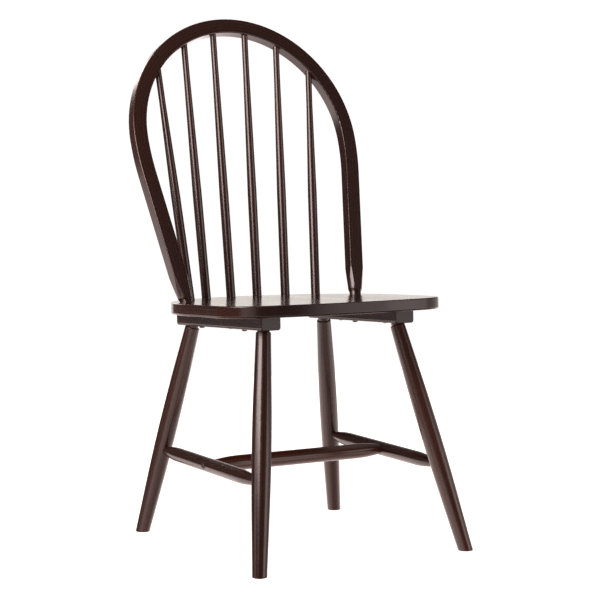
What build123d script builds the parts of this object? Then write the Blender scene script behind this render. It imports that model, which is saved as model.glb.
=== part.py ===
"""Hoop-back dining chair in dark stained hardwood, built to be knocked down for shipping.

The seat carries the bent hoop and six spindles. Two side frames, each a cleat, two turned legs
and a stretcher, are bolted up under the seat, and a cross stretcher is bolted between them.
The chair stands on the XY plane and faces -Y.
"""
import os
from math import acos, asin, atan2, cos, degrees, radians, sin, sqrt, tan

from build123d import *

os.makedirs("parts", exist_ok=True)

# Driving dimensions, in millimetres and degrees

# Seat: a flat board with a round back, rounded front corners and a slightly bowed front
seat_height = 450.0  # top of the board above the floor, at the seat datum
seat_datum_y = -25.81  # where the datum stands along the chair's depth
seat_tilt = 2.6  # fall of the board towards the back
seat_width = 452.0
seat_rear_centre = 25.5  # centre of the round back, behind the datum
seat_front = 190.6  # front edge, ahead of the datum
seat_front_radius = 800.0
seat_corner_radius = 80.0
seat_thickness = 21.6
seat_top_round = 2.0
seat_bottom_round = 4.0

# Hoop: one bent bar in a leaning plane; its straight legs draw in towards the seat
hoop_foot_angle = 67.8  # place of each foot round the seat's back, from the middle
hoop_foot_inset = 27.3  # in from the seat's edge
hoop_lean = 16.3  # backward lean from square to the seat
hoop_breadth = 28.0  # seen from the front
hoop_depth = 23.2
hoop_edge_round = 2.0
hoop_width = 482.6  # across the outside of the round top
hoop_centre_height = 316.8  # centre of the round top, up along the hoop's plane
hoop_side_radius = 466.0  # of the centre line in the easier bend below the round top
hoop_tenon_diameter = 22.4
hoop_shaved_length = 62.0  # from the seat up to where the shaving of the feet runs out
hoop_turn_height = 12.0  # where the shaving starts to curve in to the tenon
hoop_turn_cut = 0.4  # how far it has then gone into the bar's sides

# Spindles: half of the set, from the middle outwards, mirrored to the other side
spindle_foot_angles = (8.8, 26.1, 43.1)  # round the seat's back
spindle_foot_insets = (37.2, 27.8, 24.0)  # in from the seat's edge
spindle_top_angles = (9.4, 28.4, 51.0)  # round the hoop's top
spindle_diameter = 17.8
spindle_neck_diameter = 12.2
spindle_straight = 200.0  # full thickness, up from the seat
spindle_neck = 60.0  # slim end below the hoop

# Cleats: the rails under the seat that carry the legs
cleat_spacing = 284.0  # between the two centre lines, at the middle of their length
cleat_toe = 0.7  # how far each cleat turns in towards the front
cleat_centre_y = 22.7  # behind the datum
cleat_length = 316.0
cleat_width = 40.0
cleat_height = 24.2
cleat_edge_round = 5.0  # along the underside
cleat_end_round = 2.0

# Legs: turned, splayed alike from the cleats and cut off flat at the floor
leg_spacing = 262.0  # front to back, along the cleat's underside
leg_side_splay = 10.2
leg_end_splay = 13.3
leg_top_diameter = 27.0
leg_belly_diameter = 34.6
leg_foot_diameter = 25.6
leg_belly_height = 220.0
leg_belly_reach = 112.0  # the curve's length to each side, before the straight tapers
leg_shoulder_round = 2.0
leg_foot_round = 1.0
leg_tenon_diameter = 22.0

# Stretchers: turned, with ends that thin out along an arc
stretcher_front_height = 153.5
stretcher_rear_height = 159.0
side_diameter = 26.5
side_end_diameter = 15.0
side_taper = 56.0
side_tenon = 20.0  # length inside the leg
cross_diameter = 28.0
cross_end_diameter = 20.5
cross_taper = 50.0
cross_seat_depth = 6.5  # how deep its end sits in the side stretcher

# Hardware: button-head bolts that screw into threaded inserts
bolt_diameter = 6.0
bolt_hole_diameter = 6.6
bolt_head_diameter = 10.5
bolt_head_height = 3.3
bolt_head_rim = 0.6
bolt_crown_diameter = 5.6  # the flat on top of the domed head
bolt_socket_width = 4.0  # across the flats
bolt_socket_depth = 2.0
bolt_engagement = 9.5  # length screwed into the insert
seat_bolt_pitch = 79.0  # along the cleat
seat_bolt_stagger = 8.5  # the outer two stand outside the cleat's centre line, the middle one inside
spot_face_diameter = 12.0
spot_face_depth = 1.5
insert_diameter = 9.5
insert_length = 13.0

# Fits
glue_gap = 0.1  # round a tenon, a spigot or an insert
end_gap = 0.4  # past the end of a tenon in its socket
shoulder_gap = 0.15  # between a leg's shoulder and the cleat
thread_gap = 0.1  # between a bolt and its insert
seat_socket_floor = 5.0  # wood left under the spindles and the hoop
cleat_socket_floor = 6.5  # wood left above a leg
hoop_socket_floor = 14.0  # wood left above a spindle

# Planes, sizes and points that several pieces share

seat_socket_depth = seat_thickness - seat_socket_floor
cleat_socket_depth = cleat_height - cleat_socket_floor
hoop_socket_depth = hoop_breadth - hoop_socket_floor
seat_radius = seat_width / 2

seat_top = Plane(
    origin=(0, seat_datum_y, seat_height),
    x_dir=(1, 0, 0),
    z_dir=(0, sin(radians(seat_tilt)), cos(radians(seat_tilt))),
)
seat_underside = seat_top.offset(-seat_thickness)

# Each side's cleat has its own planes: local X across it and local Y along it
side_names = {-1: "left", 1: "right"}
cleat_tops = {
    side: Plane(
        seat_underside.location
        * Location((side * cleat_spacing / 2, cleat_centre_y, 0), (0, 0, -side * cleat_toe))
    )
    for side in side_names
}
cleat_undersides = {side: cleat_tops[side].offset(-cleat_height) for side in side_names}


def round_back(angle, inset):
    """Point on the seat at an angle round its back, inset from the edge; from the datum."""
    radius = seat_radius - inset
    return radius * sin(radians(angle)), seat_rear_centre + radius * cos(radians(angle))


hoop_foot_x, hoop_foot_y = round_back(hoop_foot_angle, hoop_foot_inset)
hoop_plane = Plane(
    origin=seat_top.from_local_coords((0, hoop_foot_y, 0)),
    x_dir=(1, 0, 0),
    z_dir=(0, -cos(radians(hoop_lean + seat_tilt)), sin(radians(hoop_lean + seat_tilt))),
)
hoop_top_radius = (hoop_width - hoop_breadth) / 2
hoop_inner_radius = hoop_top_radius - hoop_breadth / 2


def turning_plane(start, end):
    """Plane along a turned piece: local X is the radius, local Y runs from start to end."""
    square = Plane(origin=start, z_dir=end - start)
    return Plane(origin=start, x_dir=square.x_dir, z_dir=-square.y_dir)


def bore(plane, radius, depth):
    """Cut a round socket into the current part: depth below the plane, and open above it."""
    mouth = 2 * radius
    with Locations(plane.offset(mouth)):
        Hole(radius, depth + mouth)


def facing_down(level, x, y):
    """Plane at a point of another plane, facing the floor."""
    return Plane(origin=level.from_local_coords((x, y, 0)), z_dir=-level.z_dir)


def leg_line(side, end):
    """Foot on the floor and joint on the cleat of one leg; side is -1 or 1 in X, end in Y."""
    slope_x = side * tan(radians(leg_side_splay))
    slope_y = end * tan(radians(leg_end_splay))
    joint = cleat_undersides[side].from_local_coords((0, end * leg_spacing / 2, 0))
    down = seat_top.from_local_coords((slope_x, slope_y, -1)) - seat_top.origin
    return joint + down * (-joint.Z / down.Z), joint


def point_at_height(start, end, height):
    """Point at a height above the floor on the line from start to end."""
    return start + (end - start) * ((height - start.Z) / (end.Z - start.Z))


leg_places = {
    "leg_front_left": (-1, -1),
    "leg_front_right": (1, -1),
    "leg_rear_left": (-1, 1),
    "leg_rear_right": (1, 1),
}
# Where the stretchers' lines meet the legs and each other
leg_lines = {place: leg_line(*place) for place in leg_places.values()}
stretcher_heights = {-1: stretcher_front_height, 1: stretcher_rear_height}
stretcher_ends = {
    (side, end): point_at_height(*leg_lines[side, end], stretcher_heights[end])
    for side, end in leg_places.values()
}
cross_ends = {
    side: (stretcher_ends[side, -1] + stretcher_ends[side, 1]) / 2 for side in side_names
}

# Where the spindles stand, from left to right: the foot on the seat and the top in the hoop
spindle_lines = []
for side in (-1, 1):
    half_set = list(zip(spindle_foot_angles, spindle_foot_insets, spindle_top_angles))
    if side < 0:
        half_set.reverse()
    for foot_angle, foot_inset, top_angle in half_set:
        foot_x, foot_y = round_back(foot_angle, foot_inset)
        top_x = hoop_inner_radius * sin(radians(top_angle))
        top_y = hoop_centre_height + hoop_inner_radius * cos(radians(top_angle))
        foot = seat_top.from_local_coords((side * foot_x, foot_y, 0))
        top = hoop_plane.from_local_coords((side * top_x, top_y, 0))
        spindle_lines.append((foot, top))

# The hoop's straight legs: each runs from its foot to touch the side bend, here on the right
side_centre_x = hoop_top_radius - hoop_side_radius
centre_distance = sqrt((hoop_foot_x - side_centre_x) ** 2 + hoop_centre_height**2)
centre_angle = atan2(hoop_foot_x - side_centre_x, hoop_centre_height)
hoop_leg_slope = asin(hoop_side_radius / centre_distance) - centre_angle
bend_x = side_centre_x + hoop_side_radius * cos(hoop_leg_slope)
bend_y = hoop_centre_height - hoop_side_radius * sin(hoop_leg_slope)
hoop_tenon_length = seat_socket_depth - end_gap
hoop_feet = {
    side: (
        hoop_plane.from_local_coords((side * hoop_foot_x, 0, 0)),
        hoop_plane.from_local_coords((side * bend_x, bend_y, 0)),
    )
    for side in side_names
}

# Where the bolts go through each cleat: across it and along it
seat_bolt_places = [
    (side, side * seat_bolt_stagger * (1 if step else -1), step * seat_bolt_pitch)
    for side in side_names
    for step in (-1, 0, 1)
]

# Seat
with BuildPart() as seat:
    with BuildSketch(seat_top) as seat_outline:
        bow = seat_front_radius - sqrt(seat_front_radius**2 - seat_radius**2)
        front_left = (-seat_radius, bow - seat_front)
        front_right = (seat_radius, bow - seat_front)
        with BuildLine():
            CenterArc((0, seat_rear_centre), seat_radius, 0, 180)
            Line((-seat_radius, seat_rear_centre), front_left)
            ThreePointArc(front_left, (0, -seat_front), front_right)
            Line(front_right, (seat_radius, seat_rear_centre))
        make_face()
        fillet(seat_outline.vertices().group_by(Axis.Y)[0], seat_corner_radius)
    extrude(amount=-seat_thickness)
    seat_faces = seat.faces().sort_by(Axis(seat_top.origin, seat_top.z_dir))
    fillet(seat_faces[-1].edges(), seat_top_round)
    fillet(seat_faces[0].edges(), seat_bottom_round)
    for foot, top in spindle_lines:
        bore(
            Plane(origin=foot, z_dir=top - foot),
            spindle_diameter / 2 + glue_gap,
            seat_socket_depth,
        )
    for foot, bend in hoop_feet.values():
        bore(
            Plane(origin=foot, z_dir=bend - foot),
            hoop_tenon_diameter / 2 + glue_gap,
            seat_socket_depth,
        )
    for side, x, y in seat_bolt_places:
        bore(
            facing_down(cleat_tops[side], x, y),
            insert_diameter / 2 + glue_gap,
            insert_length + end_gap,
        )
seat.part.label = "seat"
export_step(seat.part, "parts/seat.step")

# Hoop
with BuildPart() as hoop:
    with BuildLine(hoop_plane) as hoop_line:
        end_x = hoop_foot_x - hoop_tenon_length * sin(hoop_leg_slope)
        end_y = -hoop_tenon_length * cos(hoop_leg_slope)
        turn_angle = degrees(hoop_leg_slope)
        Line((-end_x, end_y), (-bend_x, bend_y))
        CenterArc(
            (-side_centre_x, hoop_centre_height), hoop_side_radius, 180 + turn_angle, -turn_angle
        )
        CenterArc((0, hoop_centre_height), hoop_top_radius, 180, -180)
        CenterArc((side_centre_x, hoop_centre_height), hoop_side_radius, 0, -turn_angle)
        Line((bend_x, bend_y), (end_x, end_y))
    bar_end = Plane(
        origin=hoop_line.line @ 0, x_dir=hoop_plane.z_dir, z_dir=hoop_line.line % 0
    )
    with BuildSketch(bar_end):
        RectangleRounded(hoop_depth, hoop_breadth, hoop_edge_round)
    sweep(path=hoop_line.line)
    # The feet are shaved down to round tenons, and the shaving fades out up the bar's edges
    tenon_radius = hoop_tenon_diameter / 2
    bar_corner = sqrt(hoop_breadth**2 + hoop_depth**2) / 2
    skew = acos(cos(radians(hoop_lean)) * cos(hoop_leg_slope))
    tenon_start = tenon_radius * tan(skew) + end_gap
    turn = (hoop_breadth / 2 - hoop_turn_cut, hoop_turn_height)
    run_out = (bar_corner, hoop_shaved_length)
    for foot, bend in hoop_feet.values():
        with BuildSketch(turning_plane(foot, bend)):
            with BuildLine():
                TangentArc(
                    turn,
                    (tenon_radius, tenon_start),
                    tangent=(turn[0] - run_out[0], turn[1] - run_out[1]),
                )
                Polyline(
                    (tenon_radius, tenon_start),
                    (tenon_radius, -2 * hoop_tenon_length),
                    (2 * bar_corner, -2 * hoop_tenon_length),
                    (2 * bar_corner, hoop_shaved_length),
                    run_out,
                    turn,
                )
            make_face()
        revolve(axis=Axis(foot, bend - foot), mode=Mode.SUBTRACT)
    for foot, top in spindle_lines:
        bore(
            Plane(origin=top, z_dir=foot - top),
            spindle_neck_diameter / 2 + glue_gap,
            hoop_socket_depth,
        )
hoop.part.label = "hoop"
export_step(hoop.part, "parts/hoop.step")

# Spindles, numbered from left to right
for number, (foot, top) in enumerate(spindle_lines, start=1):
    length = (top - foot).length
    lower_end = end_gap - seat_socket_depth
    upper_end = length + hoop_socket_depth - end_gap
    with BuildPart() as spindle:
        with BuildSketch(turning_plane(foot, top)):
            with BuildLine():
                Polyline(
                    (0, lower_end),
                    (spindle_diameter / 2, lower_end),
                    (spindle_diameter / 2, spindle_straight),
                    (spindle_neck_diameter / 2, length - spindle_neck),
                    (spindle_neck_diameter / 2, upper_end),
                    (0, upper_end),
                    close=True,
                )
            make_face()
        revolve(axis=Axis(foot, top - foot))
    spindle.part.label = f"spindle_{number}"
    export_step(spindle.part, f"parts/spindle_{number}.step")

# Cleats
for side, side_name in side_names.items():
    with BuildPart() as cleat:
        with BuildSketch(cleat_tops[side]):
            Rectangle(cleat_width, cleat_length)
        extrude(amount=-cleat_height)
        up = Axis(cleat_tops[side].origin, cleat_tops[side].z_dir)
        back = Axis(cleat_tops[side].origin, cleat_tops[side].y_dir)
        fillet(cleat.faces().sort_by(up)[0].edges().filter_by(back), cleat_edge_round)
        for end_face in (cleat.faces().sort_by(back)[0], cleat.faces().sort_by(back)[-1]):
            fillet(end_face.edges().sort_by(up)[:-1], cleat_end_round)
        for end in (-1, 1):
            foot, joint = leg_lines[side, end]
            bore(
                Plane(origin=joint, z_dir=foot - joint),
                leg_tenon_diameter / 2 + glue_gap,
                cleat_socket_depth,
            )
        for bolt_side, x, y in seat_bolt_places:
            if bolt_side == side:
                with Locations(facing_down(cleat_undersides[side], x, y)):
                    Hole(bolt_hole_diameter / 2)
    cleat.part.label = f"cleat_{side_name}"
    export_step(cleat.part, f"parts/cleat_{side_name}.step")

# Legs
splay = Vector(tan(radians(leg_side_splay)), tan(radians(leg_end_splay)), 1)
leg_rise = sqrt(splay.X**2 + splay.Y**2) / splay.length  # sine of the leg's angle to the cleat
leg_upright = 1 / splay.length  # and its cosine
for name, (side, end) in leg_places.items():
    foot, joint = leg_lines[side, end]
    # The shoulder is cut square to the leg, so only its outer edge comes up to the cleat
    edge_rise = (leg_top_diameter / 2 - leg_shoulder_round) * leg_rise
    edge_rise += leg_shoulder_round * (1 - leg_upright)
    shoulder = (joint - foot).length - (edge_rise + shoulder_gap) / leg_upright
    tenon_end = (joint - foot).length + cleat_socket_depth - end_gap
    foot_end = -leg_foot_diameter / 2
    # The two straight tapers would meet at a peak, which the curve of the belly rounds off
    taper_lengths = (leg_belly_height - foot_end, shoulder - leg_belly_height)
    taper_radii = (leg_foot_diameter / 2, leg_top_diameter / 2)
    share = sum(leg_belly_reach / (4 * length) for length in taper_lengths)
    drop = sum(leg_belly_reach * r / (4 * length) for r, length in zip(taper_radii, taper_lengths))
    peak = (leg_belly_diameter / 2 - drop) / (1 - share)
    bend = sum(atan2(peak - r, length) for r, length in zip(taper_radii, taper_lengths))
    with BuildPart() as leg:
        with BuildSketch(turning_plane(foot, joint)) as half_leg:
            with BuildLine():
                Polyline(
                    (0, foot_end),
                    (leg_foot_diameter / 2, foot_end),
                    (peak, leg_belly_height),
                    (leg_top_diameter / 2, shoulder),
                    (leg_tenon_diameter / 2, shoulder),
                    (leg_tenon_diameter / 2, tenon_end),
                    (0, tenon_end),
                    close=True,
                )
            make_face()
            corners = half_leg.vertices().sort_by(Axis.X)
            fillet(corners[-1], leg_belly_reach / tan(bend / 2))
            top_edge = half_leg.vertices().sort_by_distance((leg_top_diameter / 2, shoulder))
            fillet(top_edge[0], leg_shoulder_round)
        revolve(axis=Axis(foot, joint - foot))
        split(bisect_by=Plane.XY, keep=Keep.TOP)
        fillet(leg.faces().sort_by(Axis.Z)[0].edges(), leg_foot_round)
        here = stretcher_ends[side, end]
        along = stretcher_ends[side, -end] - here
        bore(
            Plane(origin=here, z_dir=along).offset(leg_belly_diameter / 2),
            side_end_diameter / 2 + glue_gap,
            side_tenon + end_gap,
        )
    leg.part.label = name
    export_step(leg.part, f"parts/{name}.step")

# Side stretchers
side_radius = side_diameter / 2
side_end_radius = side_end_diameter / 2


def leg_clearance(side, end):
    """How far along the stretcher from a leg's line its tenon is clear of the slanting leg."""
    foot, joint = leg_lines[side, end]
    along = (stretcher_ends[side, -end] - stretcher_ends[side, end]).normalized()
    lean = abs(along.dot((joint - foot).normalized()))
    return (leg_belly_diameter / 2 + side_end_radius * lean) / sqrt(1 - lean**2) + glue_gap


def half_stretcher(start, end, radius, end_radius, taper, tips, shoulders):
    """Half section of a turned stretcher that thins out along arcs to straight ends.

    The shoulders and the tips are the places on its line where the straight ends start and stop.
    """
    with BuildSketch(turning_plane(start, end)) as half:
        with BuildLine():
            Line((radius, shoulders[0] + taper), (radius, shoulders[1] - taper))
            for tip, shoulder, way in zip(tips, shoulders, (1, -1)):
                TangentArc(
                    (radius, shoulder + way * taper), (end_radius, shoulder), tangent=(0, -way)
                )
                Polyline((end_radius, shoulder), (end_radius, tip), (0, tip))
            Line((0, tips[0]), (0, tips[1]))
        make_face()
    return half.sketch


for side, side_name in side_names.items():
    front = stretcher_ends[side, -1]
    rear = stretcher_ends[side, 1]
    inward = Vector(-side, 0, 0)
    span = (rear - front).length
    tenon_end = leg_belly_diameter / 2 - side_tenon
    with BuildPart() as stretcher:
        half = half_stretcher(
            front, rear, side_radius, side_end_radius, side_taper,
            tips=(tenon_end, span - tenon_end),
            shoulders=(leg_clearance(side, -1), span - leg_clearance(side, 1)),
        )
        revolve(half, axis=Axis(front, rear - front))
        bore(
            Plane(origin=cross_ends[side] + inward * side_radius, z_dir=inward),
            cross_end_diameter / 2 + glue_gap,
            cross_seat_depth + glue_gap,
        )
        with Locations(Plane(origin=cross_ends[side] - inward * side_radius, z_dir=-inward)):
            CounterBoreHole(bolt_hole_diameter / 2, spot_face_diameter / 2, spot_face_depth)
    stretcher.part.label = f"side_stretcher_{side_name}"
    export_step(stretcher.part, f"parts/side_stretcher_{side_name}.step")

# Cross stretcher
cross_span = (cross_ends[1] - cross_ends[-1]).length
cross_start = side_radius - cross_seat_depth
with BuildPart() as cross_stretcher:
    half = half_stretcher(
        cross_ends[-1], cross_ends[1], cross_diameter / 2, cross_end_diameter / 2, cross_taper,
        tips=(cross_start, cross_span - cross_start),
        shoulders=(side_radius, cross_span - side_radius),
    )
    revolve(half, axis=Axis(cross_ends[-1], cross_ends[1] - cross_ends[-1]))
    for side in side_names:
        outward = Vector(side, 0, 0)
        end_face = Plane(origin=cross_ends[side] - outward * cross_start, z_dir=outward)
        bore(end_face, insert_diameter / 2 + glue_gap, insert_length + end_gap)
cross_stretcher.part.label = "cross_stretcher"
export_step(cross_stretcher.part, "parts/cross_stretcher.step")


# Hardware

def add_bolt(plane, length):
    """Add a button-head bolt to the current part: head above the plane, shank below it."""
    head_radius = bolt_head_diameter / 2
    with BuildSketch(turning_plane(plane.origin, plane.origin + plane.z_dir)) as half_bolt:
        with BuildLine():
            TangentArc(
                (head_radius, bolt_head_rim),
                (bolt_crown_diameter / 2, bolt_head_height),
                tangent=(0, 1),
            )
            Polyline(
                (bolt_crown_diameter / 2, bolt_head_height),
                (0, bolt_head_height),
                (0, -length),
                (bolt_diameter / 2, -length),
                (bolt_diameter / 2, 0),
                (head_radius, 0),
                (head_radius, bolt_head_rim),
            )
        make_face()
    revolve(half_bolt.sketch, axis=Axis(plane.origin, plane.z_dir))
    with BuildSketch(plane.offset(bolt_head_height)) as key_socket:
        RegularPolygon(bolt_socket_width / 2, 6, major_radius=False)
    extrude(key_socket.sketch, amount=-bolt_socket_depth, mode=Mode.SUBTRACT)


def add_insert(plane):
    """Add a threaded insert to the current part, flush with the plane and going down from it."""
    with BuildSketch(plane) as ring:
        Circle(insert_diameter / 2)
        Circle(bolt_diameter / 2 + thread_gap, mode=Mode.SUBTRACT)
    extrude(ring.sketch, amount=-insert_length)


with BuildPart() as seat_bolts:
    for side, x, y in seat_bolt_places:
        add_bolt(facing_down(cleat_undersides[side], x, y), cleat_height + bolt_engagement)
seat_bolts.part.label = "seat_bolts"
export_step(seat_bolts.part, "parts/seat_bolts.step")

with BuildPart() as seat_inserts:
    for side, x, y in seat_bolt_places:
        add_insert(facing_down(cleat_tops[side], x, y))
seat_inserts.part.label = "seat_inserts"
export_step(seat_inserts.part, "parts/seat_inserts.step")

with BuildPart() as stretcher_bolts:
    for side in side_names:
        outward = Vector(side, 0, 0)
        head_seat = side_radius - spot_face_depth
        add_bolt(
            Plane(origin=cross_ends[side] + outward * head_seat, z_dir=outward),
            head_seat + cross_start + bolt_engagement,
        )
stretcher_bolts.part.label = "stretcher_bolts"
export_step(stretcher_bolts.part, "parts/stretcher_bolts.step")

with BuildPart() as stretcher_inserts:
    for side in side_names:
        outward = Vector(side, 0, 0)
        add_insert(Plane(origin=cross_ends[side] - outward * cross_start, z_dir=outward))
stretcher_inserts.part.label = "stretcher_inserts"
export_step(stretcher_inserts.part, "parts/stretcher_inserts.step")
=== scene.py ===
"""Finishes and studio for a hoop-back dining chair in dark stained, lacquered hardwood.

The chair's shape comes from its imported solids. This file gives every piece its own wood, with the
grain running along the piece, gives the hardware its metal, and sets up a plain pale studio.
"""

import math

import bpy
import numpy as np
from mathutils import Matrix, Vector


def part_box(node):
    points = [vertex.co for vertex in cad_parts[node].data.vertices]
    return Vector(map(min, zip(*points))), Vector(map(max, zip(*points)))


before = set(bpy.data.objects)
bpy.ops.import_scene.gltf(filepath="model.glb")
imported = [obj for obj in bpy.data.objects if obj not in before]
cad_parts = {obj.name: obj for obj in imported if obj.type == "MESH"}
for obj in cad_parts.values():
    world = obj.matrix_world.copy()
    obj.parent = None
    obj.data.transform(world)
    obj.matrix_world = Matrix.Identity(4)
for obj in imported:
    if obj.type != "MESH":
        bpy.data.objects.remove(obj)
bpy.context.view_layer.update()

bl_info = {
    "name": "Hoop-back chair finishes",
    "version": (1, 0, 0),
    "blender": (4, 5, 0),
    "location": "View3D > Sidebar > Chair",
    "description": "Stained wood, hardware and studio for a hoop-back dining chair",
    "category": "Material",
}


# Sizes and colours that a user may change

class ChairWood(bpy.types.PropertyGroup):
    """Stain, grain and lacquer of the wooden pieces."""

    stain: bpy.props.FloatVectorProperty(
        name="Stain", description="Usual colour of the stained wood",
        default=(0.0120, 0.0036, 0.0021), min=0, max=1, size=3, subtype="COLOR",
    )
    early_wood: bpy.props.FloatVectorProperty(
        name="Early wood", description="Lighter colour of the soft bands between the rings",
        default=(0.0600, 0.0160, 0.0080), min=0, max=1, size=3, subtype="COLOR",
    )
    pores: bpy.props.FloatVectorProperty(
        name="Pores", description="Colour of the stain gathered in the pores",
        default=(0.0050, 0.0017, 0.0012), min=0, max=1, size=3, subtype="COLOR",
    )
    # Lighter colour along the edges: partly stain rubbed thin, partly a painted highlight standing in
    # for the sheen on eased edges
    rubbed_edge_and_sheen: bpy.props.FloatVectorProperty(
        name="Rubbed edges", description="Colour along edges where the stain is rubbed thin",
        default=(0.0850, 0.0320, 0.0190), min=0, max=1, size=3, subtype="COLOR",
    )
    hoop_paleness: bpy.props.FloatProperty(
        name="Hoop paleness", description="How lightly the hoop took the stain",
        default=0.15, min=0, max=1, subtype="FACTOR",
    )
    seat_paleness: bpy.props.FloatProperty(
        name="Seat paleness", description="How lightly the seat and its cleats took the stain",
        default=0.09, min=0, max=1, subtype="FACTOR",
    )
    spindle_paleness: bpy.props.FloatProperty(
        name="Spindle paleness", description="How lightly the spindles took the stain",
        default=0.24, min=0, max=1, subtype="FACTOR",
    )
    leg_paleness: bpy.props.FloatProperty(
        name="Leg paleness", description="How lightly the legs took the stain",
        default=0.28, min=0, max=1, subtype="FACTOR",
    )
    side_paleness: bpy.props.FloatProperty(
        name="Side stretcher paleness", description="How lightly the side stretchers took the stain",
        default=0.14, min=0, max=1, subtype="FACTOR",
    )
    cross_paleness: bpy.props.FloatProperty(
        name="Cross stretcher paleness", description="How lightly the cross stretcher took the stain",
        default=0.52, min=0, max=1, subtype="FACTOR",
    )
    leg_unevenness: bpy.props.FloatProperty(
        name="Leg unevenness", description="How far the front right leg is paler than the front left",
        default=0.24, min=0, max=1, subtype="FACTOR",
    )
    ring_spacing: bpy.props.FloatProperty(
        name="Ring spacing", description="Distance between growth rings",
        default=0.0042, min=0.001, max=0.02, unit="LENGTH",
    )
    pore_width: bpy.props.FloatProperty(
        name="Pore width", description="Width of the longest pores",
        default=0.0007, min=0.0002, max=0.004, unit="LENGTH",
    )
    pore_relief: bpy.props.FloatProperty(
        name="Pore relief", description="How far the lacquer sinks into the pores",
        default=0.00001, min=0, max=0.001, unit="LENGTH",
    )
    edge_band: bpy.props.FloatProperty(
        name="Edge band", description="Width of the rubbed band along an edge",
        default=0.0022, min=0.0005, max=0.01, unit="LENGTH",
    )
    stave_width: bpy.props.FloatProperty(
        name="Stave width", description="Width of the boards glued up for the seat",
        default=0.0753, min=0.02, max=0.5, unit="LENGTH",
    )
    end_grain: bpy.props.FloatProperty(
        name="End grain", description="How much darker the stain lies on end grain",
        default=0.75, min=0, max=1, subtype="FACTOR",
    )
    seat_roughness: bpy.props.FloatProperty(
        name="Seat roughness", description="Roughness of the lacquer on the rubbed-down seat",
        default=0.15, min=0.02, max=1, subtype="FACTOR",
    )
    gloss_roughness: bpy.props.FloatProperty(
        name="Lacquer roughness", description="Roughness of the lacquer on the other pieces",
        default=0.22, min=0.02, max=1, subtype="FACTOR",
    )


class ChairHoopLine(bpy.types.PropertyGroup):
    """The line that the hoop's grain follows round the bend."""

    foot_height: bpy.props.FloatProperty(
        name="Foot height", description="Height of the hoop's plane at its feet",
        default=0.4454, unit="LENGTH",
    )
    foot_depth: bpy.props.FloatProperty(
        name="Foot depth", description="Place of the hoop's plane at its feet, along Y",
        default=0.0747, unit="LENGTH",
    )
    lean: bpy.props.FloatProperty(
        name="Lean", description="Backward lean of the hoop from upright",
        default=math.radians(18.9), unit="ROTATION",
    )
    round_height: bpy.props.FloatProperty(
        name="Round centre", description="Height of the round top's centre along the hoop",
        default=0.3168, unit="LENGTH",
    )
    round_radius: bpy.props.FloatProperty(
        name="Round radius", description="Radius of the round top's centre line",
        default=0.2273, min=0.01, unit="LENGTH",
    )
    side_radius: bpy.props.FloatProperty(
        name="Side radius", description="Radius of the easier bend below the round top",
        default=0.466, min=0.01, unit="LENGTH",
    )
    leg_slope: bpy.props.FloatProperty(
        name="Leg slope", description="Slope of the hoop's straight legs",
        default=math.radians(8.9), unit="ROTATION",
    )


class ChairHardware(bpy.types.PropertyGroup):
    """Finish of the bolts and the threaded inserts."""

    coating: bpy.props.FloatVectorProperty(
        name="Bolt coating", description="Colour of the bolts' dark coating",
        default=(0.035, 0.022, 0.018), min=0, max=1, size=3, subtype="COLOR",
    )
    coating_worn: bpy.props.FloatVectorProperty(
        name="Worn coating", description="Colour of the coating where a key has rubbed it",
        default=(0.075, 0.062, 0.055), min=0, max=1, size=3, subtype="COLOR",
    )
    plating: bpy.props.FloatVectorProperty(
        name="Insert plating", description="Colour of the plated inserts",
        default=(0.56, 0.55, 0.52), min=0, max=1, size=3, subtype="COLOR",
    )
    mottle: bpy.props.FloatProperty(
        name="Mottle", description="Size of the patches in the coating and plating",
        default=0.0035, min=0.0005, max=0.05, unit="LENGTH",
    )


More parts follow.
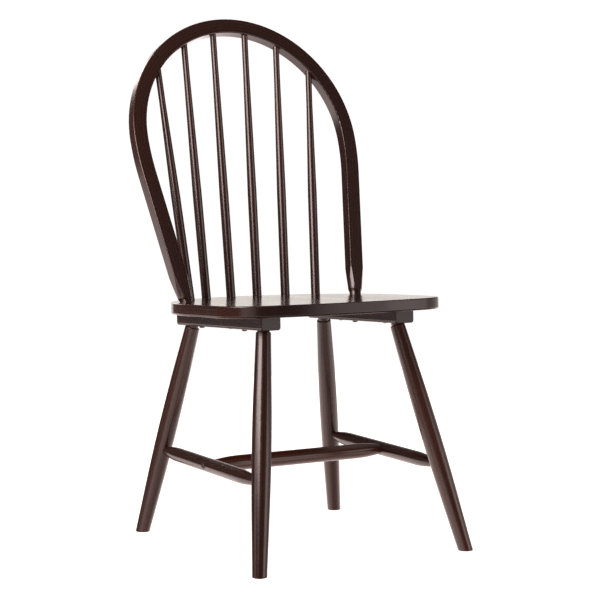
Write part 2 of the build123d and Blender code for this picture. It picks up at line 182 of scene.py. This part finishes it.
class ChairStudio(bpy.types.PropertyGroup):
    """Floor, light and camera."""

    floor_size: bpy.props.FloatProperty(
        name="Floor size", description="Side of the square floor",
        default=4.4, min=2, unit="LENGTH",
    )
    floor_colour: bpy.props.FloatVectorProperty(
        name="Floor colour", description="Colour of the plain floor",
        default=(0.86, 0.86, 0.86), min=0, max=1, size=3, subtype="COLOR",
    )
    floor_glow: bpy.props.FloatProperty(
        name="Floor glow", description="Light that the pale floor gives by itself",
        default=0.95, min=0,
    )
    light_colour: bpy.props.FloatVectorProperty(
        name="Light colour", description="Colour of the lamps and of the light in the room",
        default=(1.0, 0.84, 0.81), min=0, max=1, size=3, subtype="COLOR",
    )
    paper_colour: bpy.props.FloatVectorProperty(
        name="Paper colour", description="Colour of the lit paper and of the floor's own light",
        default=(1.0, 0.93, 0.88), min=0, max=1, size=3, subtype="COLOR",
    )
    background: bpy.props.FloatProperty(
        name="Background", description="Brightness of the plain background",
        default=1.05, min=0,
    )
    floor_level: bpy.props.FloatProperty(
        name="Reflected floor", description="Brightness of the floor where the lacquer mirrors it",
        default=2.05, min=0,
    )
    room_level: bpy.props.FloatProperty(
        name="Room", description="Brightness of the dim room around the chair",
        default=0.1, min=0,
    )
    ceiling_level: bpy.props.FloatProperty(
        name="Ceiling", description="Brightness of the room overhead",
        default=0.6, min=0,
    )
    key_level: bpy.props.FloatProperty(
        name="Key light", description="Brightness of the large soft light at the front left",
        default=8.0, min=0,
    )
    lower_key_level: bpy.props.FloatProperty(
        name="Lower key light", description="Brightness of the softer tier below the key light",
        default=2.4, min=0,
    )
    spill_level: bpy.props.FloatProperty(
        name="Left spill", description="Brightness of the light that spills past the key light",
        default=2.0, min=0,
    )
    side_level: bpy.props.FloatProperty(
        name="Side paper", description="Brightness of the low paper to the chair's right",
        default=0.45, min=0,
    )
    fill_level: bpy.props.FloatProperty(
        name="Fill light", description="Brightness of the soft light at the front right",
        default=1.75, min=0,
    )
    back_level: bpy.props.FloatProperty(
        name="Back light", description="Brightness of the soft light behind and above the chair",
        default=5.0, min=0,
    )
    paper_level: bpy.props.FloatProperty(
        name="Paper", description="Brightness of the lit paper behind the chair",
        default=0.81, min=0,
    )
    camera_place: bpy.props.FloatVectorProperty(
        name="Camera", description="Place of the camera",
        default=(-1.7851, -3.0284, 0.7342), size=3, subtype="TRANSLATION", unit="LENGTH",
    )
    camera_turn: bpy.props.FloatProperty(
        name="Camera turn", description="How far the camera is turned to the chair's left side",
        default=math.radians(30.73), unit="ROTATION",
    )
    camera_dip: bpy.props.FloatProperty(
        name="Camera dip", description="How far the camera looks down",
        default=math.radians(4.67), unit="ROTATION",
    )
    focal_length: bpy.props.FloatProperty(
        name="Focal length", description="Focal length of the camera on a 36 mm wide frame",
        default=114.16, min=10, unit="CAMERA",
    )


# Small helpers for building materials

class Tree:
    """Adds nodes to one material or world and links them by value."""

    def __init__(self, owner):
        owner.use_nodes = True
        self.tree = owner.node_tree
        self.tree.nodes.clear()

    def node(self, kind, settings=None, **inputs):
        """Add a node; each input is a value, or a socket to link from."""
        made = self.tree.nodes.new(kind)
        for name, value in (settings or {}).items():
            setattr(made, name, value)
        for name, value in inputs.items():
            self.put(made.inputs[name.replace("_", " ")], value)
        return made

    def put(self, socket, value):
        """Set a socket, or link it where the value is another socket."""
        if isinstance(value, bpy.types.NodeSocket):
            self.tree.links.new(value, socket)
        else:
            socket.default_value = value

    def math(self, operation, *values):
        """Result of one arithmetic step."""
        made = self.tree.nodes.new("ShaderNodeMath")
        made.operation = operation
        for socket, value in zip(made.inputs, values):
            self.put(socket, value)
        return made.outputs[0]

    def add_shares(self, start, *pairs):
        """A start value plus each value times its share."""
        total = start
        for value, share in pairs:
            total = self.math("MULTIPLY_ADD", value, share, total)
        return total

    def vector(self, operation, *values):
        """Result of one vector step."""
        made = self.tree.nodes.new("ShaderNodeVectorMath")
        made.operation = operation
        for socket, value in zip(made.inputs, values):
            self.put(socket, value)
        return made.outputs["Value" if operation == "DOT_PRODUCT" else "Vector"]

    def spread(self, value, low, high, to_low=0.0, to_high=1.0, smooth=False):
        """Value moved from one range to another and held inside it."""
        made = self.tree.nodes.new("ShaderNodeMapRange")
        made.interpolation_type = "SMOOTHSTEP" if smooth else "LINEAR"
        for socket, given in zip(made.inputs, (value, low, high, to_low, to_high)):
            self.put(socket, given)
        return made.outputs[0]

    def mix(self, share, first, second):
        """Colour between two colours."""
        made = self.tree.nodes.new("ShaderNodeMix")
        made.data_type = "RGBA"
        sockets = {socket.identifier: socket for socket in made.inputs}
        for name, value in (("Factor_Float", share), ("A_Color", first), ("B_Color", second)):
            self.put(sockets[name], value)
        return next(socket for socket in made.outputs if socket.identifier == "Result_Color")

    def noise(self, vector, scale, detail=2.0, roughness=0.5):
        """Soft noise from 0 to 1."""
        made = self.node(
            "ShaderNodeTexNoise", Vector=vector, Scale=scale, Detail=detail, Roughness=roughness,
        )
        return made.outputs[0]

    def drawn_out(self, grain, along, across, detail, roughness=0.5):
        """Noise drawn out along the grain, with so many patches to the metre along and across it."""
        stretched = self.vector("MULTIPLY", grain, (along, across, across))
        return self.noise(stretched, 1.0, detail, roughness)


def colour(values):
    """A colour property as a node colour."""
    return (*values, 1.0)


def put_on(node, material):
    """Give a node of the frame one material."""
    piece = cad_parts[node]
    piece.data.materials.clear()
    piece.data.materials.append(material)


# Grain that follows each piece

def points_of(node):
    """Points of a node as an array."""
    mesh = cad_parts[node].data
    flat = np.zeros(len(mesh.vertices) * 3)
    mesh.vertices.foreach_get("co", flat)
    return flat.reshape(-1, 3)


def grain_frame(node):
    """Middle of a straight piece, its direction, and its turn with X along the piece."""
    points = points_of(node)
    middle = (points.max(0) + points.min(0)) / 2
    spread = np.linalg.eigh(np.cov((points - points.mean(0)).T))[1]
    along = Vector(spread[:, 2])
    if along.dot(Vector((1, 1, 1))) < 0:
        along = -along
    return Vector(middle), along, along.to_track_quat("X", "Z").to_euler()


def straight_grain(tree, middle, turn):
    """Grain coordinates of a straight piece: X along it."""
    place = tree.node("ShaderNodeTexCoord").outputs["Object"]
    mapped = tree.node(
        "ShaderNodeMapping", {"vector_type": "TEXTURE"},
        Vector=place, Location=middle, Rotation=turn,
    )
    return mapped.outputs["Vector"]


def bent_grain(tree, line):
    """Grain coordinates of the hoop: X along its bend, Y out from its middle, Z through it."""
    place = tree.node("ShaderNodeTexCoord").outputs["Object"]
    flat = tree.node(
        "ShaderNodeMapping", {"vector_type": "TEXTURE"},
        Vector=place,
        Location=(0.0, line.foot_depth, line.foot_height),
        Rotation=(math.pi / 2 - line.lean, 0.0, 0.0),
    ).outputs["Vector"]
    split = tree.node("ShaderNodeSeparateXYZ", Vector=flat)
    across, up, through = split.outputs
    rise = tree.math("SUBTRACT", up, line.round_height)
    # Round top
    top_angle = tree.math("ARCTAN2", across, rise)
    top_along = tree.math("MULTIPLY", top_angle, line.round_radius)
    reach = tree.math("SQRT", tree.math(
        "ADD", tree.math("MULTIPLY", across, across), tree.math("MULTIPLY", rise, rise),
    ))
    top_out = tree.math("SUBTRACT", reach, line.round_radius)
    # Side bends and straight legs, as if both were on the right
    side_x = tree.math("SUBTRACT", tree.math("ABSOLUTE", across), line.round_radius - line.side_radius)
    drop = tree.math("MULTIPLY", rise, -1.0)
    bend = tree.math("MINIMUM", tree.math("ARCTAN2", drop, side_x), line.leg_slope)
    bend_cos = tree.math("COSINE", bend)
    bend_sin = tree.math("SINE", bend)
    side_out = tree.math("SUBTRACT", tree.math(
        "ADD", tree.math("MULTIPLY", side_x, bend_cos), tree.math("MULTIPLY", drop, bend_sin),
    ), line.side_radius)
    past_bend = tree.math(
        "SUBTRACT", tree.math("MULTIPLY", drop, bend_cos), tree.math("MULTIPLY", side_x, bend_sin),
    )
    side_along = tree.math("ADD", tree.math(
        "MULTIPLY_ADD", bend, line.side_radius, line.round_radius * math.pi / 2,
    ), past_bend)
    side_along = tree.math("MULTIPLY", side_along, tree.math("SIGN", across))
    low = tree.math("LESS_THAN", rise, 0.0)

    def choose(top, side):
        return tree.math("MULTIPLY_ADD", tree.math("SUBTRACT", side, top), low, top)

    joined = tree.node(
        "ShaderNodeCombineXYZ", X=choose(top_along, side_along), Y=choose(top_out, side_out), Z=through,
    )
    return joined.outputs[0]


# Make-up of the wood; each pair is where an effect starts and where it is full

WAVE_RATE = 20.0  # radians that the wave texture turns over one unit
RING_STRETCH = 0.045  # how slowly the rings change along the grain, against across it
PORE_FIELD = 0.45  # noise scale that gives pores one unit wide
PORE_LENGTH = 26.0  # of a pore, in its own widths
PORE_CUT = (0.60, 0.70)  # in the noise
PORE_DARKNESS = 0.75
RING_PORES = (0.15, 0.85, 0.35, 1.0)  # dark to light in a ring, and the share of pores at each
STAVE_DRAW = 11.0  # which staves were picked for the seat
STAVE_SHIFT = (3.0, 0.4)  # most that a stave is moved in its log, along and through it
STAVE_SHARE = 0.44  # of the tone
MIDDLE_TONE = 0.75
TONE_REACH, STAVED_REACH = 1.6, 1.15  # from the darkest wood to the palest
END_FACING = (0.55, 0.95)  # how squarely a face cuts the grain
EDGE_TURN = (0.995, 0.90)  # softened normal against the true one
# The rubbing at each is partly a painted highlight along the eased edges
EDGE_PATCHES = (0.40, 0.66, 0.05, 0.55)  # from thin to thick clouds, and the rubbing at each
DOWN_FACING = (-0.05, -0.35)  # upward part of the normal
SHINE, SHINE_BELOW = 0.5, 0.08
COAT, COAT_BELOW = 0.25, 0.0

# Make-up of the metal, put in the same way

SPECKS_IN_PATCH = 6  # across one patch of the coating
WEAR_TURN = (0.99, 0.85)  # softened normal against the true one
WEAR_PATCHES = (0.35, 0.65, 0.15, 0.8)  # from thin to thick patches, and the wear at each
SPECK_RELIEF = 0.00004  # metres
SPANGLE = (0.35, 0.65)  # in the noise
DULL_SHARE = 0.72  # of the plating's colour, between the bright patches


def place_in_log(seed):
    """Where a piece was cut: along its log, and two distances from the pith that leave it outside."""
    return (0.37 * seed, 0.055 + 0.011 * (seed % 4), 0.048 + 0.013 * (seed % 3))


def glued_up(tree, grain, stave_width):
    """Grain coordinates and tone of a board glued up from staves, each shifted along its own length."""
    split = tree.node("ShaderNodeSeparateXYZ", Vector=grain)
    along, across, through = split.outputs
    stave = tree.math("FLOOR", tree.math("DIVIDE", across, stave_width))
    stave = tree.math("ADD", stave, STAVE_DRAW)
    draw = tree.node("ShaderNodeTexWhiteNoise", {"noise_dimensions": "1D"}, W=stave).outputs["Value"]
    shift_along, shift_through = STAVE_SHIFT
    shifted = tree.node(
        "ShaderNodeCombineXYZ",
        X=tree.add_shares(along, (draw, shift_along)),
        Y=across,
        Z=tree.add_shares(through, (draw, shift_through)),
    )
    return shifted.outputs[0], draw


def stained_wood(name, seed, paleness, make_grain, along=None, staves=False, bare_and_shaded_below=False):
    """Stained and lacquered wood with rings, fibres, pores, end grain, and edges lightened partly by
    rubbing and partly by a painted highlight.
    """
    wood = bpy.context.scene.chair_wood
    roughness = wood.seat_roughness if staves else wood.gloss_roughness
    material = bpy.data.materials.new(name)
    tree = Tree(material)
    grain = make_grain(tree)
    if staves:
        grain, stave_tone = glued_up(tree, grain, wood.stave_width)
    grain = tree.vector("ADD", grain, place_in_log(seed))
    rings = tree.node(
        "ShaderNodeTexWave", {"wave_type": "RINGS", "rings_direction": "X", "wave_profile": "SIN"},
        Vector=tree.vector("MULTIPLY", grain, (RING_STRETCH, 1.0, 1.0)),
        Scale=2 * math.pi / (WAVE_RATE * wood.ring_spacing),
        Distortion=3.2, Detail=2.0, Detail_Scale=0.6, Detail_Roughness=0.55,
    ).outputs[1]
    waver = tree.drawn_out(grain, along=3.0, across=26.0, detail=2.0)
    fibres = tree.drawn_out(grain, along=9.0, across=620.0, detail=3.0, roughness=0.6)
    clouds = tree.drawn_out(grain, along=2.2, across=14.0, detail=3.0, roughness=0.55)
    pore_scale = PORE_FIELD / wood.pore_width
    pores = tree.drawn_out(grain, pore_scale / PORE_LENGTH, pore_scale, detail=1.0, roughness=0.4)
    pores = tree.spread(pores, *PORE_CUT, smooth=True)
    pores = tree.math("MULTIPLY", pores, tree.spread(rings, *RING_PORES))
    # Tone from dark to light along the rings, fibres and clouds
    light = tree.add_shares(0.0, (rings, 0.34), (fibres, 0.46), (clouds, 0.52), (waver, 0.18))
    reach = TONE_REACH
    if staves:
        light = tree.math("SUBTRACT", tree.add_shares(light, (stave_tone, STAVE_SHARE)), STAVE_SHARE / 2)
        reach = STAVED_REACH
    light = tree.spread(light, MIDDLE_TONE - reach * paleness, MIDDLE_TONE + reach * (1 - paleness))
    body = tree.mix(light, colour(wood.stain), colour(wood.early_wood))
    body = tree.mix(tree.math("MULTIPLY", pores, PORE_DARKNESS), body, colour(wood.pores))
    true = tree.node("ShaderNodeNewGeometry").outputs["Normal"]
    if along:
        # End grain drinks more stain
        facing = tree.math("ABSOLUTE", tree.vector("DOT_PRODUCT", true, along))
        end = tree.spread(facing, *END_FACING, 0.0, wood.end_grain, smooth=True)
        body = tree.mix(end, body, colour(wood.pores))
    # Edges: where the softened normal leaves the true one, the colour is lightened; partly stain rubbed
    # thin, partly a painted highlight along the eased edges
    soft = tree.node("ShaderNodeBevel", {"samples": 6}, Radius=wood.edge_band).outputs["Normal"]
    edge = tree.spread(tree.vector("DOT_PRODUCT", soft, true), *EDGE_TURN, smooth=True)
    edge = tree.math("MULTIPLY", edge, tree.spread(clouds, *EDGE_PATCHES))
    body = tree.mix(edge, body, colour(wood.rubbed_edge_and_sheen))
    gloss = tree.add_shares(roughness - 0.05, (clouds, 0.10), (fibres, 0.05), (pores, 0.14))
    height = tree.add_shares(0.0, (fibres, 0.35), (pores, -1.0))
    relief = tree.node(
        "ShaderNodeBump", Height=height, Strength=0.35, Distance=wood.pore_relief,
    ).outputs["Normal"]
    shine, coat = SHINE, COAT
    if bare_and_shaded_below:
        # Less shine and coat on what faces the floor: partly thinner lacquer there, partly painted shade
        # dimming the reflection of the floor under the chair
        facing_up = tree.node("ShaderNodeSeparateXYZ", Vector=true).outputs["Z"]
        shine = tree.spread(facing_up, *DOWN_FACING, SHINE, SHINE_BELOW)
        coat = tree.spread(facing_up, *DOWN_FACING, COAT, COAT_BELOW)
    shader = tree.node(
        "ShaderNodeBsdfPrincipled",
        Base_Color=body, Roughness=gloss, Normal=relief, IOR=1.5, Specular_IOR_Level=shine,
        Coat_Weight=coat, Coat_Roughness=0.16,
    )
    tree.node("ShaderNodeOutputMaterial", Surface=shader.outputs[0])
    return material


def coated_steel(name):
    """Dark coated steel, rubbed a little along its edges."""
    hardware = bpy.context.scene.chair_hardware
    material = bpy.data.materials.new(name)
    tree = Tree(material)
    place = tree.node("ShaderNodeTexCoord").outputs["Object"]
    speck = hardware.mottle / SPECKS_IN_PATCH
    patches = tree.noise(place, 1 / hardware.mottle, detail=3.0, roughness=0.6)
    specks = tree.noise(place, 1 / speck)
    soft = tree.node("ShaderNodeBevel", {"samples": 6}, Radius=speck).outputs["Normal"]
    true = tree.node("ShaderNodeNewGeometry").outputs["Normal"]
    edge = tree.spread(tree.vector("DOT_PRODUCT", soft, true), *WEAR_TURN, smooth=True)
    edge = tree.math("MULTIPLY", edge, tree.spread(patches, *WEAR_PATCHES))
    body = tree.mix(edge, colour(hardware.coating), colour(hardware.coating_worn))
    rough = tree.add_shares(0.08, (patches, 0.16))
    relief = tree.node(
        "ShaderNodeBump", Height=specks, Strength=0.25, Distance=SPECK_RELIEF,
    ).outputs["Normal"]
    shader = tree.node(
        "ShaderNodeBsdfPrincipled", Base_Color=body, Roughness=rough, Normal=relief, Metallic=0.35,
    )
    tree.node("ShaderNodeOutputMaterial", Surface=shader.outputs[0])
    return material


def plated_steel(name):
    """Zinc-plated steel with a faint spangle."""
    hardware = bpy.context.scene.chair_hardware
    material = bpy.data.materials.new(name)
    tree = Tree(material)
    place = tree.node("ShaderNodeTexCoord").outputs["Object"]
    spangle = tree.noise(place, 1 / hardware.mottle, detail=3.0, roughness=0.6)
    dull = tuple(DULL_SHARE * value for value in hardware.plating)
    body = tree.mix(tree.spread(spangle, *SPANGLE), colour(dull), colour(hardware.plating))
    rough = tree.add_shares(0.22, (spangle, 0.24))
    shader = tree.node("ShaderNodeBsdfPrincipled", Base_Color=body, Roughness=rough, Metallic=1.0)
    tree.node("ShaderNodeOutputMaterial", Surface=shader.outputs[0])
    return material


# Which length of wood each piece is cut from
SEEDS = {
    "hoop": 1,
    "seat": 3,
    "spindle_1": 10,
    "spindle_2": 11,
    "spindle_3": 12,
    "spindle_4": 13,
    "spindle_5": 14,
    "spindle_6": 15,
    "cleat_left": 20,
    "cleat_right": 21,
    "leg_front_left": 30,
    "leg_front_right": 31,
    "leg_rear_left": 32,
    "leg_rear_right": 33,
    "side_stretcher_left": 40,
    "side_stretcher_right": 41,
    "cross_stretcher": 42,
}


def finish_straight_pieces(names, paleness, bare_and_shaded_below=False):
    """Give each straight piece its own length of wood."""
    for node in names:
        middle, along, turn = grain_frame(node)
        material = stained_wood(
            f"stained_{node}", SEEDS[node], paleness,
            lambda tree: straight_grain(tree, middle, turn), along, bare_and_shaded_below=bare_and_shaded_below,
        )
        put_on(node, material)


# One operator for each piece or group of like pieces

class CHAIR_OT_finish_seat(bpy.types.Operator):
    """Stain the seat as a board glued up from staves that run front to back"""

    bl_idname = "chair.finish_seat"
    bl_label = "Finish the seat"

    def execute(self, context):
        wood = context.scene.chair_wood
        low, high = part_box("seat")
        top = max(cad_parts["seat"].data.polygons, key=lambda face: face.area * face.normal.z)
        along = top.normal.cross(Vector((1, 0, 0)))
        turn = Matrix((along, top.normal.cross(along), top.normal)).transposed().to_euler()
        material = stained_wood(
            "stained_seat", SEEDS["seat"], wood.seat_paleness,
            lambda tree: straight_grain(tree, (low + high) / 2, turn), along,
            staves=True, bare_and_shaded_below=True,
        )
        put_on("seat", material)
        return {"FINISHED"}


class CHAIR_OT_finish_hoop(bpy.types.Operator):
    """Stain the hoop, with the grain following its bend"""

    bl_idname = "chair.finish_hoop"
    bl_label = "Finish the hoop"

    def execute(self, context):
        line = context.scene.chair_hoop_line
        material = stained_wood(
            "stained_hoop", SEEDS["hoop"], context.scene.chair_wood.hoop_paleness,
            lambda tree: bent_grain(tree, line),
        )
        put_on("hoop", material)
        return {"FINISHED"}


class CHAIR_OT_finish_spindles(bpy.types.Operator):
    """Stain the six spindles"""

    bl_idname = "chair.finish_spindles"
    bl_label = "Finish the spindles"

    def execute(self, context):
        spindles = [f"spindle_{number}" for number in range(1, 7)]
        finish_straight_pieces(spindles, context.scene.chair_wood.spindle_paleness)
        return {"FINISHED"}


class CHAIR_OT_finish_cleats(bpy.types.Operator):
    """Stain the two cleats under the seat"""

    bl_idname = "chair.finish_cleats"
    bl_label = "Finish the cleats"

    def execute(self, context):
        paleness = context.scene.chair_wood.seat_paleness
        finish_straight_pieces(["cleat_left", "cleat_right"], paleness, bare_and_shaded_below=True)
        return {"FINISHED"}


class CHAIR_OT_finish_legs(bpy.types.Operator):
    """Stain the four legs"""

    bl_idname = "chair.finish_legs"
    bl_label = "Finish the legs"

    def execute(self, context):
        wood = context.scene.chair_wood
        usual, uneven = wood.leg_paleness, wood.leg_unevenness
        finish_straight_pieces(["leg_front_left"], usual - uneven / 2)
        finish_straight_pieces(["leg_front_right"], usual + uneven / 2)
        finish_straight_pieces(["leg_rear_left", "leg_rear_right"], usual)
        return {"FINISHED"}


class CHAIR_OT_finish_stretchers(bpy.types.Operator):
    """Stain the side stretchers and the cross stretcher"""

    bl_idname = "chair.finish_stretchers"
    bl_label = "Finish the stretchers"

    def execute(self, context):
        wood = context.scene.chair_wood
        finish_straight_pieces(["side_stretcher_left", "side_stretcher_right"], wood.side_paleness)
        finish_straight_pieces(["cross_stretcher"], wood.cross_paleness)
        return {"FINISHED"}


class CHAIR_OT_finish_hardware(bpy.types.Operator):
    """Coat the bolts and plate the inserts"""

    bl_idname = "chair.finish_hardware"
    bl_label = "Finish the hardware"

    def execute(self, context):
        coated = coated_steel("coated_bolts")
        plated = plated_steel("plated_inserts")
        for group in ("seat", "stretcher"):
            put_on(f"{group}_bolts", coated)
            put_on(f"{group}_inserts", plated)
        return {"FINISHED"}


class CHAIR_OT_set_studio(bpy.types.Operator):
    """Lay the floor, and set the light and the camera"""

    bl_idname = "chair.set_studio"
    bl_label = "Set the studio"

    def execute(self, context):
        studio = context.scene.chair_studio
        lay_floor(studio)
        light_room(studio)
        lamp = studio.light_colour
        add_light(
            "key_light", turn=-108, distance=1.55, height=1.29, size=(1.3, 0.92),
            level=studio.key_level, tint=lamp,
        )
        add_light(
            "lower_key", turn=-108, distance=1.55, height=0.74, size=(1.3, 0.18),
            level=studio.lower_key_level, tint=lamp,
        )
        add_light(
            "side_paper", turn=100, distance=1.6, height=0.31, size=(2.6, 0.62),
            level=studio.side_level, tint=lamp,
        )
        add_light(
            "lit_paper", turn=31, distance=3.0, height=0.55, size=(3.3, 1.1),
            level=studio.paper_level, tint=studio.paper_colour,
        )
        set_camera(studio)
        context.scene.view_settings.view_transform = "Standard"
        return {"FINISHED"}


def lay_floor(studio):
    """Plain pale floor under the chair."""
    half = studio.floor_size / 2
    mesh = bpy.data.meshes.new("studio_floor")
    corners = [(-half, -half, 0), (half, -half, 0), (half, half, 0), (-half, half, 0)]
    mesh.from_pydata(corners, [], [(0, 1, 2, 3)])
    floor = bpy.data.objects.new("studio_floor", mesh)
    bpy.context.scene.collection.objects.link(floor)
    material = bpy.data.materials.new("pale_floor")
    tree = Tree(material)
    shader = tree.node(
        "ShaderNodeBsdfPrincipled", Base_Color=colour(studio.floor_colour), Roughness=0.85,
        Emission_Color=colour(studio.paper_colour), Emission_Strength=studio.floor_glow,
    )
    tree.node("ShaderNodeOutputMaterial", Surface=shader.outputs[0])
    mesh.materials.append(material)
    floor.visible_glossy = False


# The room's light; turns are from straight behind the chair and heights are of a unit direction

CEILING = (0.55, 0.95)  # heights where it starts and where it is full
HORIZON = (-0.10, -0.24)
HORIZON_LIFT = 0.14  # under the key light
FLOOR_FAR, FLOOR_STEEP, STEEP_SHARE = -0.4, -0.75, 0.75  # heights, and the floor's share of light
FRONT = (0.0, 0.7)  # how far towards the front
FLOOR_CLOSE = (-0.1, -0.6, 0.15, 0.75)  # heights, and how much dimmer the floor is at each
FILL_TOP = (0.43, 0.31)  # heights
FILL_RISE = (-0.05, 0.28, 0.55, 1.7)  # heights, and the fill's share of light at each


def toward(turn, rise=0.0):
    """Direction from the chair, by its turn and its rise in degrees."""
    turn, rise = math.radians(turn), math.radians(rise)
    return (math.cos(rise) * math.sin(turn), math.cos(rise) * math.cos(turn), math.sin(rise))


def glow(tree, way, middle, outer, inner):
    """Soft round glow: none beyond the outer angle from its middle, and full within the inner one."""
    near = tree.vector("DOT_PRODUCT", way, middle)
    return tree.spread(near, math.cos(math.radians(outer)), math.cos(math.radians(inner)), smooth=True)


def light_room(studio):
    """Dim room with a lighter ceiling; the camera sees it as plain white."""
    world = bpy.data.worlds.new("studio_room")
    bpy.context.scene.world = world
    tree = Tree(world)
    way = tree.node("ShaderNodeTexCoord").outputs["Generated"]
    up = tree.node("ShaderNodeSeparateXYZ", Vector=way).outputs["Z"]
    level = tree.spread(up, *CEILING, studio.room_level, studio.ceiling_level, smooth=True)
    # Below the horizon lies the floor as the lacquer mirrors it, dimmer close in front of the chair
    front = tree.spread(tree.vector("DOT_PRODUCT", way, (0.0, -1.0, 0.0)), *FRONT)
    close = tree.math("MULTIPLY", front, tree.spread(up, *FLOOR_CLOSE))
    bright = studio.floor_level
    floor = tree.spread(up, FLOOR_FAR, FLOOR_STEEP, bright, STEEP_SHARE * bright)
    floor = tree.math("MULTIPLY", floor, tree.math("SUBTRACT", 1.0, close))
    # It starts higher under the key light
    by_key = glow(tree, way, toward(turn=-130), outer=32, inner=8)
    below = tree.spread(tree.add_shares(up, (by_key, -HORIZON_LIFT)), *HORIZON, smooth=True)
    level = tree.add_shares(level, (below, tree.math("SUBTRACT", floor, level)))
    # Soft fill from the front right, low enough to miss the hoop's face
    fill = glow(tree, way, toward(turn=140), outer=27, inner=8)
    fill = tree.math("MULTIPLY", fill, tree.spread(up, *FILL_TOP, smooth=True))
    fill = tree.math("MULTIPLY", fill, tree.spread(up, *FILL_RISE, smooth=True))
    # Light that spills past the key light on the left, and soft light from behind the chair
    spill = glow(tree, way, toward(turn=-72, rise=17), outer=15, inner=5)
    back = glow(tree, way, toward(turn=6, rise=14), outer=11, inner=2)
    level = tree.add_shares(
        level, (fill, studio.fill_level), (spill, studio.spill_level), (back, studio.back_level),
    )
    seen = tree.node("ShaderNodeLightPath").outputs["Is Camera Ray"]
    level = tree.add_shares(level, (seen, tree.math("SUBTRACT", studio.background, level)))
    tint = tree.mix(seen, colour(studio.light_colour), (1.0, 1.0, 1.0, 1.0))
    room = tree.node("ShaderNodeBackground", Color=tint, Strength=level)
    tree.node("ShaderNodeOutputWorld", Surface=room.outputs[0])


def add_light(name, turn, distance, height, size, level, tint):
    """Soft rectangular light that faces the chair; its level is the watts of a quarter square metre."""
    wide, tall = size
    lamp = bpy.data.lights.new(name, "AREA")
    lamp.shape = "RECTANGLE"
    lamp.size, lamp.size_y = wide, tall
    lamp.energy = 4 * wide * tall * level
    lamp.color = tint
    stand = bpy.data.objects.new(name, lamp)
    stand.location = distance * Vector(toward(turn)) + Vector((0.0, 0.0, height))
    stand.rotation_euler = (math.pi / 2, 0.0, math.pi - math.radians(turn))
    stand.visible_camera = False
    bpy.context.scene.collection.objects.link(stand)


def set_camera(studio):
    """Camera at the front left, a little above the seat."""
    lens = bpy.data.cameras.new("studio_camera")
    lens.lens = studio.focal_length
    lens.sensor_width = 36.0
    camera = bpy.data.objects.new("studio_camera", lens)
    camera.location = studio.camera_place
    camera.rotation_euler = (math.pi / 2 - studio.camera_dip, 0.0, -studio.camera_turn)
    bpy.context.scene.collection.objects.link(camera)
    bpy.context.scene.camera = camera


class CHAIR_PT_finishes(bpy.types.Panel):
    """Lists the chair's finishes and the studio"""

    bl_idname = "CHAIR_PT_finishes"
    bl_label = "Chair finishes"
    bl_space_type = "VIEW_3D"
    bl_region_type = "UI"
    bl_category = "Chair"

    def draw(self, context):
        for group, steps in PANEL_ROWS:
            box = self.layout.box()
            values = getattr(context.scene, group)
            for name in values.bl_rna.properties.keys():
                if name not in ("rna_type", "name"):
                    box.prop(values, name)
            for step in steps:
                box.operator(step.bl_idname)


PANEL_ROWS = (
    ("chair_wood", (
        CHAIR_OT_finish_seat, CHAIR_OT_finish_spindles, CHAIR_OT_finish_cleats,
        CHAIR_OT_finish_legs, CHAIR_OT_finish_stretchers,
    )),
    ("chair_hoop_line", (CHAIR_OT_finish_hoop,)),
    ("chair_hardware", (CHAIR_OT_finish_hardware,)),
    ("chair_studio", (CHAIR_OT_set_studio,)),
)
GROUPS = {
    "chair_wood": ChairWood,
    "chair_hoop_line": ChairHoopLine,
    "chair_hardware": ChairHardware,
    "chair_studio": ChairStudio,
}
OPERATORS = [step for group, steps in PANEL_ROWS for step in steps]


def register():
    for group in GROUPS.values():
        bpy.utils.register_class(group)
    for step in OPERATORS:
        bpy.utils.register_class(step)
    bpy.utils.register_class(CHAIR_PT_finishes)
    for name, group in GROUPS.items():
        setattr(bpy.types.Scene, name, bpy.props.PointerProperty(type=group))


def unregister():
    for name in GROUPS:
        delattr(bpy.types.Scene, name)
    bpy.utils.unregister_class(CHAIR_PT_finishes)
    for step in reversed(OPERATORS):
        bpy.utils.unregister_class(step)
    for group in reversed(GROUPS.values()):
        bpy.utils.unregister_class(group)


def main():
    register()
    bpy.ops.chair.finish_seat()
    bpy.ops.chair.finish_hoop()
    bpy.ops.chair.finish_spindles()
    bpy.ops.chair.finish_cleats()
    bpy.ops.chair.finish_legs()
    bpy.ops.chair.finish_stretchers()
    bpy.ops.chair.finish_hardware()
    bpy.ops.chair.set_studio()


if __name__ == "__main__":
    main()
